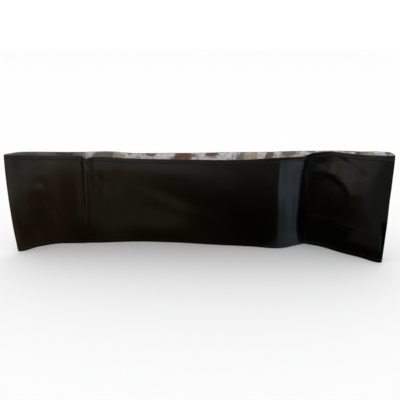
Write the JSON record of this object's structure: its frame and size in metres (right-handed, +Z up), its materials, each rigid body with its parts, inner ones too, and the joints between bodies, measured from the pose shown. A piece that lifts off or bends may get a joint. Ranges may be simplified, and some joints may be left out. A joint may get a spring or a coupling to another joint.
{
  "type": "marching drum cover",
  "caption": "Long sleeve of glossy black vinyl cloth with a silver foil inside, off its drum, standing on its long edge and pressed nearly flat, with soft upright folds.",
  "frame": {"origin": "centre of the bounding box at the foot, on the surface the sleeve stands on", "axes": "+X along the sleeve from its left-hand end to its right-hand end, -Y towards the near wall, +Z up to the mouth"},
  "size_m": [1.0558, 0.1848, 0.2949],
  "materials": {
    "black_vinyl": "smooth glossy black vinyl face on woven cloth",
    "silver_foil": "mirror-bright silver foil face with soft blotches of colour"
  },
  "bodies": {
    "root": {"outer_panel": "black_vinyl", "inner_lining": "silver_foil"}
  },
  "joints": []
}
